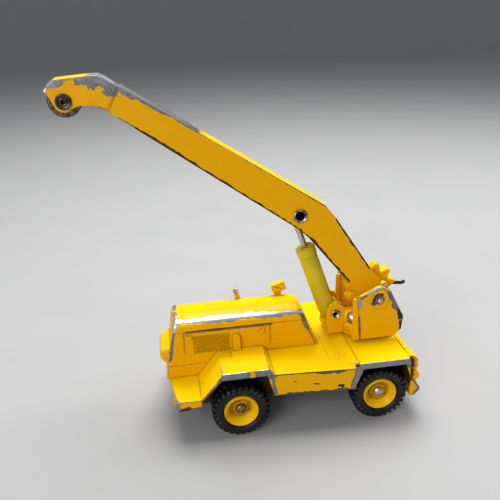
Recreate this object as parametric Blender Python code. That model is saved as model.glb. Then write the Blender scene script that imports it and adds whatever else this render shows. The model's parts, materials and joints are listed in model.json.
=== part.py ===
"""Toy crane truck: die-cast two-axle chassis, slewing crane base, luffing cranked boom.

Lengths are in tyre radii; U is one of them in metres. Points are measured from the middle of
the wheelbase at ground level. The front of the truck is -X, its left-hand side is -Y, up is +Z.
"""
import math

import bmesh
import bpy
from mathutils import Matrix, Vector

for old in list(bpy.data.objects):
    bpy.data.objects.remove(old, do_unlink=True)

# ---------------------------------------------------------------- driving sizes
U = 0.0100                # metres per tyre radius
ORIGIN_X = 1.681          # mid-wheelbase, measured from the centre of the footprint
GAP = 0.03                # assembly gap between pieces that touch
RUN = 0.006               # radial running clearance
BITE = 0.05               # how far a joined shape reaches into the one that it grows from
LEFT_RIGHT = (-1, 1)
ALL_THROUGH = 3.0         # half length of a tool that cuts from side to side
BELOW = 0.5               # a height under the whole casting, where upward cuts start

# wheels
AXLE_X = 2.4675           # half the wheelbase
WHEEL_Y = 1.95            # centre plane of each wheel
WHEEL_Z = 1.0
HUB_R = 0.60
HUB_HALF_W = 0.38
TYRE_R = 1.00
TYRE_BED_R = 0.905        # bottom of the tread grooves
TYRE_BORE_R = HUB_R + GAP
TYRE_HALF_W = 0.40
LUGS = 18
AXLE_R = 0.12
AXLE_HALF_L = 2.10
AXLE_HEAD_R = 0.21
AXLE_HEAD_H = 0.135

# truck body
DECK_Z = 2.35             # middle deck
WING_Z = 2.55             # front wing top
REAR_DECK_Z = 2.50
FRONT_DECK_Z = 1.65
ROOF_T = 0.12             # casting wall
RIM_Z = 2.30              # underside of the wing rims
SIDE_LOW_Z = 1.50         # bottom of the panels between the wheels
HULL_Z = 0.85             # bottom of the central hull
HULL_HALF_W = 1.35
BODY_HALF_W = 2.52
HOOD_HALF_W = 0.75
HOOD_EDGE_HALF_W = 0.79   # drip edge
HOOD_EDGE_Z = 3.46
HOOD_SHOULDER_Z = 3.68
HOOD_TOP_Z = 3.93
HOOD_FRONT_LEAN = 0.18
HOOD_REAR_LEAN = 0.406
SEAM_W = 0.03
SEAM_D = 0.02
SEAMS_X = (-4.20, -1.15)

# base plate and its rivets
PLATE_Z = (0.74, 0.81)
SINK_R = 0.21             # countersink at the plate's lower face
SINK_D = 0.01             # the rivets stand this far inside it
POST_X = {"front": -3.45, "rear": 3.05}
POST_R = 0.24
POST_BORE_R = 0.13

# crane base
SLEW_X = 2.35             # turntable axis
SLEW_RIVET_R = 0.14
FLOOR_Z = 2.60
FLOOR_T = 0.16
SIDE_Y = 1.20             # outer face of the side plates
SIDE_T = 0.14
EAR_Y = 0.53
EAR_T = 0.12
BOSS_R = 0.33

# boom linkage, as (x, z)
PIVOT = (2.68, 4.15)      # boom pivot, also the winch wheel's axis
PIVOT_R = 0.15
RAM_FOOT = (1.30, 3.40)   # lower pin of the cylinder
RAM_PIN_R = 0.11
ROD_END = (0.00, 7.24)    # rivet that joins the rod to the boom
ROD_RIVET_R = 0.14
RAM_OFFSET = 0.17         # the cylinder stands this far ahead of the line between its pins
SHEAVE = (-7.08, 11.36)
SHEAVE_R = 0.50
SHEAVE_HALF_W = 0.22
SHEAVE_RIVET_R = 0.10

ARM_HALF_W = 0.45
HEEL_HALF_W = 0.56
HEAD_HALF_W = 0.40
BOOM_WALL = 0.07
HEEL_R = 0.465

# cylinder
BARREL_R = 0.33
BARREL_L = 2.72           # lower pin to the top of the barrel
BORE_FROM = 0.45          # the bore starts above the lower eye
ROD_R = 0.11
ROD_FROM = 1.60           # the rod's inner end, from the lower pin
EYE_R = 0.34
EYE_BORE_R = 0.25

# winch wheel and wire
LOBE_TIP_R = 0.98
LOBE_ROOT_R = 0.70
LOBES = 11
LOBE_STEPS = 10
LOBE_TURN = 0.16          # angle of the first lobe, in radians
LOBE_ROUNDNESS = 0.72     # below 1 the lobes are wider than the valleys
WHEEL_HALF_T = 0.19
DRUM_R = 0.30
WIRE_Y = 0.27
WIRE_R = 0.065

ROUND = 36                # facets on a large circle
SMALL = 24                # facets on a small circle
HUB_FACETS = 32
WIRE_FACETS = 12
CAST_SHARP = 25.0         # degrees between faces that stay a crisp edge


# ---------------------------------------------------------------- materials
def material(name, colour, rough, metal):
    """Principled surface for one kind of piece."""
    made = bpy.data.materials.new(name)
    made.use_nodes = True
    surface = made.node_tree.nodes["Principled BSDF"]
    surface.inputs["Base Color"].default_value = (*colour, 1.0)
    surface.inputs["Roughness"].default_value = rough
    surface.inputs["Metallic"].default_value = metal
    return made


PAINT = material("yellow_enamel", (0.85, 0.50, 0.01), 0.32, 0.0)
HUB_PAINT = material("hub_yellow", (0.75, 0.45, 0.02), 0.28, 0.0)
RUBBER = material("tyre_black", (0.02, 0.02, 0.02), 0.45, 0.0)
STEEL = material("steel_pin", (0.55, 0.53, 0.50), 0.35, 1.0)
BRONZE = material("dull_rivet", (0.22, 0.18, 0.15), 0.42, 1.0)
MUSTARD = material("mustard_plastic", (0.55, 0.38, 0.01), 0.40, 0.0)
BLACK = material("black_plate", (0.03, 0.03, 0.03), 0.50, 0.6)
WIRE = material("dark_wire", (0.06, 0.04, 0.03), 0.50, 0.8)


# ---------------------------------------------------------------- mesh helpers
def world(x, y, z):
    """A point in tyre radii on the truck, in metres in the shared frame."""
    return Vector(((x + ORIGIN_X) * U, y * U, z * U))


def finish(name, bm, mat=None):
    """Turn a bmesh that is in tyre radii into an object in metres."""
    bmesh.ops.remove_doubles(bm, verts=bm.verts, dist=1e-5)
    bmesh.ops.recalc_face_normals(bm, faces=bm.faces)
    for v in bm.verts:
        v.co = world(*v.co)
    mesh = bpy.data.meshes.new(name)
    bm.to_mesh(mesh)
    bm.free()
    made = bpy.data.objects.new(name, mesh)
    bpy.context.scene.collection.objects.link(made)
    if mat:
        mesh.materials.append(mat)
    return made


def skin(bm, rings):
    """Faces between rings of points; a ring of one point closes the end."""
    for a, b in zip(rings, rings[1:]):
        n = max(len(a), len(b))
        for i in range(n):
            j = (i + 1) % n
            if len(a) == 1:
                bm.faces.new((a[0], b[j], b[i]))
            elif len(b) == 1:
                bm.faces.new((a[i], a[j], b[0]))
            else:
                bm.faces.new((a[i], a[j], b[j], b[i]))


def loft(name, rings, mat=None):
    """Closed solid through rings that all have the same number of points."""
    bm = bmesh.new()
    loops = [[bm.verts.new(p) for p in ring] for ring in rings]
    skin(bm, loops)
    bm.faces.new(loops[0])
    bm.faces.new(loops[-1])
    return finish(name, bm, mat)


def side_prism(name, outline, y0, y1, mat=None):
    """Outline in X, Z carried from y0 to y1."""
    return loft(name, [[(x, y, z) for x, z in outline] for y in (y0, y1)], mat)


def plan_prism(name, outline, z0, z1, mat=None):
    """Outline in X, Y carried from z0 to z1."""
    return loft(name, [[(x, y, z) for x, y in outline] for z in (z0, z1)], mat)


def box(name, x0, x1, y0, y1, z0, z1, mat=None):
    return plan_prism(name, [(x0, y0), (x1, y0), (x1, y1), (x0, y1)], z0, z1, mat)


def circle(cx, cz, r, n):
    return [(cx + r * math.cos(math.tau * i / n), cz + r * math.sin(math.tau * i / n)) for i in range(n)]


def rod_y(name, centre, r, y0, y1, n=SMALL, mat=None):
    """Round bar along Y through an (x, z) centre."""
    return side_prism(name, circle(*centre, r, n), y0, y1, mat)


def rod_z(name, cx, r, z0, z1, n=SMALL, mat=None):
    """Round bar along Z in the truck's middle plane."""
    return plan_prism(name, circle(cx, 0.0, r, n), z0, z1, mat)


def turned_y(name, profile, centre, n, mat=None, closed=False, radius=None):
    """Profile of (radius, y) turned about the Y line through an (x, z) centre.

    An open profile starts and ends on the axis; a closed one makes a ring.
    radius(k, i, r) may give point i of ring k its own angle and radius, for lugs.
    """
    bm = bmesh.new()
    cx, cz = centre
    rings = []
    for k, (r, y) in enumerate(profile):
        if r == 0.0:
            rings.append([bm.verts.new((cx, y, cz))])
            continue
        ring = []
        for i in range(n):
            a, rr = radius(k, i, r) if radius else (math.tau * i / n, r)
            ring.append(bm.verts.new((cx + rr * math.cos(a), y, cz + rr * math.sin(a))))
        rings.append(ring)
    skin(bm, rings + rings[:1] if closed else rings)
    return finish(name, bm, mat)


def apply_bool(target, tools, how):
    """Join or cut with an exact boolean, then drop the tool objects."""
    for tool in tools:
        mod = target.modifiers.new("b", "BOOLEAN")
        mod.operation = how
        mod.solver = "EXACT"
        mod.object = tool
        deps = bpy.context.evaluated_depsgraph_get()
        mesh = bpy.data.meshes.new_from_object(target.evaluated_get(deps))
        target.modifiers.clear()
        target.data = mesh
        bpy.data.objects.remove(tool, do_unlink=True)
    bm = bmesh.new()
    bm.from_mesh(target.data)
    bmesh.ops.remove_doubles(bm, verts=bm.verts, dist=2e-7)
    bmesh.ops.dissolve_degenerate(bm, edges=bm.edges, dist=2e-7)
    bm.to_mesh(target.data)
    bm.free()
    return target


def join(target, *tools):
    return apply_bool(target, tools, "UNION")


def cut(target, *tools):
    return apply_bool(target, tools, "DIFFERENCE")


def keep(target, *tools):
    return apply_bool(target, tools, "INTERSECT")


def smooth(ob, degrees=32.0):
    ob.data.shade_smooth()
    ob.data.set_sharp_from_angle(angle=math.radians(degrees))
    return ob


def tip(ob, x, y, z, degrees):
    """Lean finished geometry about the Y line through a truck point."""
    at = world(x, y, z)
    lean = Matrix.Rotation(math.radians(degrees), 4, "Y")
    ob.data.transform(Matrix.Translation(at) @ lean @ Matrix.Translation(-at))
    return ob


def set_origin(ob, x, y, z):
    """Put the object's origin on its joint axis without moving the shape."""
    at = world(x, y, z)
    ob.data.transform(Matrix.Translation(-at))
    ob.location = at
    return ob


def span(side, a, b):
    """Y limits a..b mirrored to one side of the truck, in rising order."""
    return sorted((side * a, side * b))


def mirrored(half):
    """(y, value) pairs on the left-hand side, then the same on the right-hand side in reverse."""
    return [(-y, value) for y, value in half] + [(y, value) for y, value in reversed(half)]


# ---------------------------------------------------------------- truck body
SIDE_VIEW = [(-4.72, HULL_Z), (-4.82, FRONT_DECK_Z), (-3.80, FRONT_DECK_Z), (-3.05, WING_Z),
             (-1.45, WING_Z), (-1.30, DECK_Z), (3.42, DECK_Z), (3.50, HULL_Z)]
REAR_DECK = [(1.60, DECK_Z - BITE), (1.60, REAR_DECK_Z), (3.38, REAR_DECK_Z), (3.42, DECK_Z - BITE)]
PLAN_HALF = [(-4.83, 0.80), (-4.58, 2.27), (-1.35, 2.27), (-1.35, 2.31), (1.50, 2.50), (1.50, 2.46),
             (1.70, BODY_HALF_W), (3.50, BODY_HALF_W)]
FRONT_ARCH = [(-3.86, BELOW), (-3.79, 1.55), (-3.08, RIM_Z), (-1.53, RIM_Z), (-1.30, SIDE_LOW_Z - BITE),
              (-1.30, BELOW)]
REAR_ARCH = [(1.46, BELOW), (1.46, SIDE_LOW_Z - BITE), (1.74, RIM_Z - 0.02), (3.27, RIM_Z - 0.02), (3.43, 1.80),
             (3.62, 1.74), (3.62, BELOW)]
UNDERSIDE = [(-4.58, BELOW), (-4.68, FRONT_DECK_Z - ROOF_T), (-3.86, FRONT_DECK_Z - ROOF_T),
             (-3.12, WING_Z - ROOF_T), (-1.50, WING_Z - ROOF_T), (-1.36, DECK_Z - ROOF_T),
             (3.38, DECK_Z - ROOF_T), (3.38, BELOW)]
SIDE_PODS = (-1.18, 1.33, 2.13)                       # x from, x to, half width
RAMP_FRONT = (0.75, 1.60)                             # x at the foot of the ramp and at its top
RAMP_CORNER = (1.45, 1.60)
HOOD_HALF = [(HOOD_HALF_W, 1.56), (HOOD_HALF_W, HOOD_EDGE_Z - 0.02), (HOOD_EDGE_HALF_W, HOOD_EDGE_Z),
             (HOOD_EDGE_HALF_W, HOOD_SHOULDER_Z - 0.05), (0.765, HOOD_SHOULDER_Z + 0.02),
             (0.70, HOOD_SHOULDER_Z + 0.09), (0.56, HOOD_SHOULDER_Z + 0.16), (0.30, HOOD_TOP_Z - 0.03)]
HOOD_CAVITY = [(0.64, 1.2), (0.64, 3.45), (0.51, 3.72)]
HOOD_FOOT = [(-4.80, 1.60), (-4.83, 2.02), (-4.80, 2.09), (-3.30, 2.09), (-3.30, 1.60)]
LAMP_PANEL = [(-4.60, 2.19), (-4.89, 2.19), (-5.00, 2.28), (-5.07, 2.42), (-5.08, 2.56), (-5.03, 2.70),
              (-4.92, 2.82), (-4.75, 2.88), (-4.55, 2.88)]
LAMP_PANEL_MIDDLE = (-4.55, 2.54)
LAMP_PANEL_ENDS = [(0.73, 0.55), (0.71, 0.74), (0.65, 0.90), (0.56, 1.0)]
TAIL_BEAM = [(3.52, 1.20), (3.62, 1.20), (3.66, 2.38), (3.60, 2.46), (3.44, 2.46), (3.40, 2.30),
             (3.45, 1.85), (3.52, 1.78)]
UPPER_LAMP = [(3.45, 1.86), (3.72, 1.86), (3.79, 2.05), (3.76, 2.28), (3.66, 2.44), (3.50, 2.50),
              (3.40, 2.40), (3.40, 2.00)]
LOWER_LAMP = [(3.50, 1.45), (3.74, 1.45), (3.86, 1.58), (3.84, 1.74), (3.70, 1.90), (3.50, 1.90)]
BUMPER = [(3.58, 1.46), (3.70, 1.46), (3.97, 1.02), (3.98, 0.92), (3.78, 0.70), (3.62, 0.70)]


def ramp_ring(z):
    """The middle deck climbs to the rear deck with cut-away outer corners."""
    share = max(z - DECK_Z, 0.0) / (REAR_DECK_Z - DECK_Z)
    front = RAMP_FRONT[0] + share * (RAMP_FRONT[1] - RAMP_FRONT[0])
    corner = RAMP_CORNER[0] + share * (RAMP_CORNER[1] - RAMP_CORNER[0])
    half = [(front, 1.70 + 0.69 * share), (corner, 2.44), (1.70, 2.46)]
    return [(x, -y, z) for x, y in half] + [(x, y, z) for x, y in reversed(half)]


def hood_front(z):
    return -4.81 + (z - 2.2) * HOOD_FRONT_LEAN


def hood_rear(z):
    return 0.65 - (z - 2.3) * HOOD_REAR_LEAN


def hood_ring(edge, inset, shrink):
    """Section of the hood at a leaning end, drawn in toward its middle."""
    foot = 2.0
    ring = []
    for y, z in mirrored(HOOD_HALF):
        low = foot + (z - foot) * (1.0 - 0.45 * shrink) if z > foot else z
        ring.append((edge(low) + inset, y * (1.0 - shrink), low))
    return ring


def lamp_ring(y, scale):
    """Section of the lamp panel, which draws in toward its rounded ends."""
    cx, cz = LAMP_PANEL_MIDDLE
    return [(cx + (x - cx) * scale, y, cz + (z - cz) * scale) for x, z in LAMP_PANEL]


def lower_body():
    """Decks, wings and the hull below them, still solid."""
    body = side_prism("body_casting", SIDE_VIEW, -BODY_HALF_W, BODY_HALF_W, PAINT)
    join(body, side_prism("t", REAR_DECK, -BODY_HALF_W, BODY_HALF_W))
    plan = [(x, -y) for x, y in PLAN_HALF] + [(x, y) for x, y in reversed(PLAN_HALF)]
    keep(body, plan_prism("t", plan, BELOW, ALL_THROUGH))
    join(body, loft("t", [ramp_ring(DECK_Z - BITE), ramp_ring(DECK_Z), ramp_ring(REAR_DECK_Z - 0.004)]))
    for side in LEFT_RIGHT:
        y0, y1 = span(side, HULL_HALF_W, ALL_THROUGH)
        cut(body, side_prism("t", FRONT_ARCH, y0, y1), side_prism("t", REAR_ARCH, y0, y1),
            box("t", -1.9, 1.6, y0, y1, BELOW, SIDE_LOW_Z),
            box("t", -5.0, -3.5, y0, y1, BELOW, 1.28))
    return body


def add_hood(body):
    """Straight flanks, a drip edge and a crowned top; the whole casting is hollow from below."""
    join(body, loft("t", [hood_ring(hood_front, 0.0, 0.07), hood_ring(hood_front, 0.05, 0.02),
                          hood_ring(hood_front, 0.13, 0.0), hood_ring(hood_rear, -0.34, 0.0),
                          hood_ring(hood_rear, -0.12, 0.03), hood_ring(hood_rear, 0.0, 0.09)]))
    join(body, side_prism("t", HOOD_FOOT, -0.80, 0.80),
         loft("t", [lamp_ring(y, scale) for y, scale in mirrored(LAMP_PANEL_ENDS)]))
    inner = HULL_HALF_W - ROOF_T
    x0, x1, half = SIDE_PODS
    cut(body, side_prism("t", UNDERSIDE, -inner, inner),
        box("t", x0, x1, -half, half, BELOW, DECK_Z - ROOF_T))
    for side in LEFT_RIGHT:
        y0, y1 = span(side, HOOD_HALF_W - BITE, HOOD_HALF_W + 0.13)
        x, r, low, high = -2.37, 0.135, 2.56, 3.04
        capsule = rod_y("t", (x, high), r, y0, y1, 16)
        join(capsule, rod_y("t", (x, low), r, y0, y1, 16), box("t", x - r, x + r, y0, y1, low, high))
        join(body, capsule)
        y0, y1 = span(side, HOOD_HALF_W - BITE, HOOD_HALF_W + 0.07)
        join(body, box("t", -4.13, -3.93, y0, y1, 3.14, 3.26), box("t", -1.56, -1.36, y0, y1, 3.10, 3.22))
    cavity = mirrored(HOOD_CAVITY)
    cut(body, loft("t", [[(hood_front(z) + 0.22, y, z) for y, z in cavity],
                         [(hood_rear(z) - 0.16, y, z) for y, z in cavity]]),
        box("t", -4.9, hood_front(3.36) + 0.02, -0.60, 0.60, 3.22, 3.56))
    for side in LEFT_RIGHT:
        y0, y1 = span(side, HOOD_HALF_W - 0.04, 1.2)
        cut(body, box("t", -3.88, -2.61, y0, y1, 2.52, 3.22))
        y0, y1 = span(side, HOOD_HALF_W - SEAM_D, 1.2)
        for x in SEAMS_X:
            cut(body, box("t", x - SEAM_W / 2, x + SEAM_W / 2, y0, y1, 2.62, HOOD_EDGE_Z - BITE))


def add_roof_fittings(body):
    """Short leaning stub and a tilted lamp box on the right-hand edge of the hood top."""
    stub = tip(box("t", -2.17, -1.97, 0.52, 0.66, 3.75, 4.27), -2.07, 0.6, 3.75, -14.0)
    lamp = tip(box("t", -0.86, -0.34, 0.42, 0.66, 4.02, 4.36), -0.60, 0.5, 4.2, -18.0)
    join(lamp, box("t", -0.72, -0.50, 0.46, 0.62, 3.78, 4.15))
    join(body, stub, lamp)


def add_tail(body):
    """Cross beam, stacked lamp lobes and a wedge-shaped bumper."""
    join(body, side_prism("t", TAIL_BEAM, -1.86, 1.86))
    for side in LEFT_RIGHT:
        y0, y1 = span(side, 1.80, 2.32)
        join(body, side_prism("t", UPPER_LAMP, y0, y1), side_prism("t", LOWER_LAMP, y0, y1))
    join(body, side_prism("t", BUMPER, -2.20, 2.20), box("t", 3.40, 3.64, -1.30, 1.30, HULL_Z, 1.60))


def add_seats(body):
    """Crane pad and rivet hole, rivet posts on cross ribs, and the axle notches."""
    join(body, rod_z("t", SLEW_X, 0.78, REAR_DECK_Z - BITE, FLOOR_Z - GAP, ROUND))
    cut(body, rod_z("t", SLEW_X, SLEW_RIVET_R + GAP, 2.0, ALL_THROUGH))
    for end, x in POST_X.items():
        roof = WING_Z if end == "front" else DECK_Z
        join(body, rod_z("t", x, POST_R, HULL_Z, roof - BITE),
             box("t", x - 0.06, x + 0.06, -1.29, 1.29, 1.32, 1.88))
        cut(body, rod_z("t", x, POST_BORE_R, BELOW, 1.35))
    notch = AXLE_R + GAP
    for x in (-AXLE_X, AXLE_X):
        cut(body, rod_y("t", (x, WHEEL_Z), notch, -1.5, 1.5),
            box("t", x - notch, x + notch, -1.5, 1.5, BELOW, WHEEL_Z))


body_casting = lower_body()
add_hood(body_casting)
add_roof_fittings(body_casting)
add_tail(body_casting)
add_seats(body_casting)
smooth(body_casting, CAST_SHARP)


# ---------------------------------------------------------------- base plate
def countersink(name, x, wide, narrow, low, high, mat=None):
    """Cone that narrows upward from the plate's lower face."""
    return loft(name, [[(px, py, z) for px, py in circle(x, 0.0, r, SMALL)]
                       for r, z in ((wide, low), (narrow, high))], mat)


def base_plate():
    """Flat tin plate held by two countersunk rivets, which closes the axle notches."""
    plate = box("baseplate", -4.35, 3.35, -1.28, 1.28, *PLATE_Z, BLACK)
    low, high = PLATE_Z
    bore = POST_BORE_R - GAP
    for end, x in POST_X.items():
        cut(plate, countersink("t", x, SINK_R + SINK_R - POST_BORE_R, POST_BORE_R, 2 * low - high, high),
            rod_z("t", x, POST_BORE_R, low, 1.2))
        rivet = countersink("baseplate_rivet_" + end, x, SINK_R - GAP, bore, low + SINK_D, high, STEEL)
        smooth(join(rivet, rod_z("t", x, bore, high - SINK_D, 1.20)))


base_plate()


# ---------------------------------------------------------------- running gear
TREAD_HALF = [(TYRE_BORE_R, 0.33), (0.72, TYRE_HALF_W), (0.87, TYRE_HALF_W), (0.97, 0.36),
              (TYRE_R, 0.29), (TYRE_R, 0.03)]
FIRST_TREAD_RING = 3      # rings before this one, from the bore out, have no lugs
LUG_PARTS = (0.04, 0.46, 0.54, 0.96)
DISH = [(AXLE_R + RUN, 0.12), (0.235, 0.12), (0.26, 0.07), (0.31, 0.08), (0.515, 0.33),
        (0.545, HUB_HALF_W), (0.58, HUB_HALF_W), (HUB_R, 0.35), (HUB_R, -0.33), (0.26, -0.36),
        (AXLE_R + RUN, -0.36)]


def lug_radius(k, i, r):
    """Points rise on every lug; the two shoulders' lugs are half a pitch apart."""
    step, part = divmod(i, len(LUG_PARTS))
    a = (step + LUG_PARTS[part]) * math.tau / LUGS
    half = len(TREAD_HALF)
    from_bore = min(k, 2 * half - 1 - k)
    outer = k < half
    raised = part < 2 if outer else part >= 2
    if from_bore < FIRST_TREAD_RING or raised:
        return a, r
    return a, min(r, TYRE_BED_R - 0.01)


def axle(end, x):
    """Plain shaft with a domed head at each end."""
    outer = AXLE_HALF_L + AXLE_HEAD_H
    head = [(0.0, outer), (0.5 * AXLE_HEAD_R, outer - 0.012), (0.86 * AXLE_HEAD_R, outer - 0.055),
            (AXLE_HEAD_R, AXLE_HALF_L), (AXLE_R, AXLE_HALF_L)]
    profile = [(r, -y) for r, y in head] + [(r, y) for r, y in reversed(head)]
    smooth(turned_y(end + "_axle", profile, (x, WHEEL_Z), SMALL, STEEL))


def wheel(end, side_name, x, side):
    """Dished hub, open outward, and the lugged tyre round it."""
    y = side * WHEEL_Y
    name = "%s_%s" % (end, side_name)
    hub = turned_y("hub_" + name, [(r, y + side * w) for r, w in DISH], (x, WHEEL_Z), HUB_FACETS,
                   HUB_PAINT, closed=True)
    set_origin(smooth(hub), x, y, WHEEL_Z)
    section = [(r, y + w) for r, w in TREAD_HALF] + [(r, y - w) for r, w in reversed(TREAD_HALF)]
    tyre = turned_y("tyre_" + name, section, (x, WHEEL_Z), LUGS * len(LUG_PARTS), RUBBER, closed=True,
                    radius=lug_radius)
    set_origin(smooth(tyre, 28.0), x, y, WHEEL_Z)


for end, x in (("front", -AXLE_X), ("rear", AXLE_X)):
    axle(end, x)
    for side_name, side in zip(("left", "right"), LEFT_RIGHT):
        wheel(end, side_name, x, side)


# ---------------------------------------------------------------- crane base
SIDE_PLATE = [(2.03, FLOOR_Z), (1.88, 4.27), (2.00, 4.34), (2.60, 4.64), (2.74, 4.65), (3.08, 4.44),
              (3.60, 3.41), (3.55, 2.88), (3.20, FLOOR_Z)]
EAR = [(1.03, FLOOR_Z), (0.98, 3.42), (1.02, 3.62), (1.10, 3.75), (1.22, 3.84), (1.36, 3.87),
       (1.50, 3.83), (1.60, 3.74), (1.65, 3.62), (1.66, FLOOR_Z)]
FLOOR_HALF = [(1.00, EAR_Y), (1.62, EAR_Y), (2.00, SIDE_Y), (3.24, SIDE_Y)]
PLATE_LIP = [(1.86, 1.195), (1.76, 1.04), (1.86, 0.97), (2.02, 1.10), (2.10, 1.195)]
LOW_WALL = [(1.52, 0.42), (1.62, 0.52), (1.98, 1.18), (2.08, 1.12), (1.72, 0.44)]


def crane_base():
    """Turntable floor with two side plates, and two ears for the cylinder's pin."""
    plan = [(x, -y) for x, y in FLOOR_HALF] + [(x, y) for x, y in reversed(FLOOR_HALF)]
    base = plan_prism("crane_base", plan, FLOOR_Z, FLOOR_Z + FLOOR_T, PAINT)
    foot = FLOOR_Z + 0.02
    for side in LEFT_RIGHT:
        join(base, side_prism("t", SIDE_PLATE, *span(side, SIDE_Y - SIDE_T, SIDE_Y)),
             plan_prism("t", [(x, side * y) for x, y in PLATE_LIP], foot, 4.22),
             plan_prism("t", [(x, side * y) for x, y in LOW_WALL], foot, 2.98),
             side_prism("t", EAR, *span(side, EAR_Y - EAR_T, EAR_Y)),
             rod_y("t", PIVOT, BOSS_R, *span(side, SIDE_Y - 0.04, SIDE_Y + 0.06), ROUND))
    cut(base, rod_y("t", PIVOT, PIVOT_R + GAP, -ALL_THROUGH, ALL_THROUGH),
        rod_y("t", RAM_FOOT, RAM_PIN_R + GAP, -ALL_THROUGH, ALL_THROUGH),
        rod_z("t", SLEW_X, SLEW_RIVET_R + RUN, 2.0, ALL_THROUGH))
    set_origin(smooth(base, CAST_SHARP), SLEW_X, 0.0, FLOOR_Z)


def turntable_rivet():
    """Rivet with a broad domed head inside the crane and a flat one under the deck."""
    dome = [(0.42, 2.79), (0.45, 2.82), (0.43, 2.89), (0.34, 2.95), (0.20, 2.98)]
    rivet = rod_z("turntable_rivet", SLEW_X, SLEW_RIVET_R, 2.10, 2.80, SMALL, STEEL)
    join(rivet, rod_z("t", SLEW_X, 0.30, 2.08, 2.19),
         loft("t", [[(x, y, z) for x, y in circle(SLEW_X, 0.0, r, ROUND)] for r, z in dome]))
    smooth(rivet)


crane_base()
turntable_rivet()

# ---------------------------------------------------------------- boom
# Stations along the boom: upper edge, lower edge, half width.
ARM_TIP = [((-5.44, 11.71), (-5.84, 11.00), ARM_HALF_W)]
PAST_ARM_TIP = [((-5.70, 11.88), (-6.10, 11.19), ARM_HALF_W - 0.03)]
KNEE = [((0.90, 7.51), (0.00, 6.72), ARM_HALF_W), ((1.28, 7.02), (0.34, 6.38), ARM_HALF_W + 0.013),
        ((2.52, 5.11), (1.72, 4.66), HEEL_HALF_W)]
HEEL = [((3.05, 4.43), (2.31, 3.87), HEEL_HALF_W)]
PAST_HEEL = [((3.90, 3.55), (3.10, 3.00), HEEL_HALF_W)]
HEAD = [(-5.20, 11.48), (-5.47, 11.69), (-5.90, 11.98), (-6.04, 12.045), (-6.24, 12.06), (-7.32, 11.985),
        (-7.44, 11.90), (-7.60, 11.68), (-7.56, 11.60), (-7.45, 11.45), (-7.39, 11.25), (-7.27, 11.10),
        (-7.08, 11.04), (-6.90, 11.09), (-6.76, 11.18), (-6.62, 11.21), (-6.28, 11.21), (-6.10, 11.14),
        (-5.92, 11.06), (-5.50, 10.90)]
HEAD_CHANNEL = [(-5.20, 11.38), (-5.50, 11.60), (-5.93, 11.89), (-6.07, 11.965), (-6.24, 11.98),
                (-7.28, 11.91), (-7.38, 11.84), (-7.51, 11.67), (-7.90, 11.60), (-7.90, 10.60), (-5.60, 10.40)]
HEEL_OPENING = [(2.06, 5.50), (3.20, 6.20), (4.20, 4.20), (3.20, 3.00), (1.80, 4.60)]
PEG = (3.02, 4.42)


def boom_rings(stations, wall=0.0, roof=0.0, below=0.0):
    """Four-sided rings through the stations; a tool is thinner, lower and reaches further down."""
    rings = []
    for (tx, tz), (bx, bz), half in stations:
        up = Vector((tx - bx, tz - bz)).normalized()
        tx, tz = tx - up.x * roof, tz - up.y * roof
        bx, bz = bx - up.x * below, bz - up.y * below
        y = half - wall
        rings.append([(tx, -y, tz), (bx, -y, bz), (bx, y, bz), (tx, y, tz)])
    return rings


def boom():
    """Cranked arm with a round heel and a cheeked head, open along its underside."""
    arm = loft("boom", boom_rings(ARM_TIP + KNEE + HEEL), PAINT)
    join(arm, rod_y("t", PIVOT, HEEL_R, -HEEL_HALF_W, HEEL_HALF_W, ROUND),
         side_prism("t", HEAD, -HEAD_HALF_W, HEAD_HALF_W))
    channel = boom_rings(PAST_ARM_TIP + KNEE + PAST_HEEL, BOOM_WALL, BOOM_WALL + 0.01, 1.2)
    head_inner = HEAD_HALF_W - BOOM_WALL
    heel_inner = HEEL_HALF_W - BOOM_WALL
    cut(arm, loft("t", channel), side_prism("t", HEAD_CHANNEL, -head_inner, head_inner),
        side_prism("t", HEEL_OPENING, -heel_inner, heel_inner))
    join(arm, rod_y("t", PEG, 0.13, -HEEL_HALF_W - 0.12, -HEEL_HALF_W + 0.06))
    cut(arm, rod_y("t", PIVOT, PIVOT_R + RUN, -ALL_THROUGH, ALL_THROUGH),
        rod_y("t", ROD_END, ROD_RIVET_R + GAP, -ALL_THROUGH, ALL_THROUGH),
        rod_y("t", SHEAVE, SHEAVE_RIVET_R + GAP, -ALL_THROUGH, ALL_THROUGH))
    set_origin(smooth(arm, 22.0), PIVOT[0], 0.0, PIVOT[1])


def tube_rivet(name, centre, shank, hole, flange, grip):
    """Hollow rivet along Y that grips a width of 2 * grip."""
    face = grip + GAP
    half = [(hole, face + 0.05), (flange - 0.02, face + 0.05), (flange, face + 0.025), (flange, face),
            (shank, face)]
    profile = [(r, -y) for r, y in half] + [(r, y) for r, y in reversed(half)]
    smooth(turned_y(name, profile, centre, SMALL, BRONZE, closed=True))


def pivot_pin():
    """Long pin with slightly domed ends, through both side plates."""
    half = [(0.0, 1.33), (0.07, 1.325), (0.13, 1.30), (PIVOT_R, 1.27)]
    profile = [(r, -y) for r, y in half] + [(r, y) for r, y in reversed(half)]
    smooth(turned_y("boom_pivot_pin", profile, PIVOT, SMALL, STEEL))


def sheave():
    """Grooved wheel between the head's cheeks."""
    bore = SHEAVE_RIVET_R + RUN
    half = [(bore, SHEAVE_HALF_W + 0.04), (0.20, SHEAVE_HALF_W + 0.04), (0.24, SHEAVE_HALF_W),
            (SHEAVE_R - 0.03, SHEAVE_HALF_W), (SHEAVE_R, SHEAVE_HALF_W - 0.04), (0.34, 0.05)]
    profile = [(r, -y) for r, y in half] + [(r, y) for r, y in reversed(half)]
    made = turned_y("sheave", profile, SHEAVE, ROUND, BRONZE, closed=True)
    set_origin(smooth(made), SHEAVE[0], 0.0, SHEAVE[1])


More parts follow.
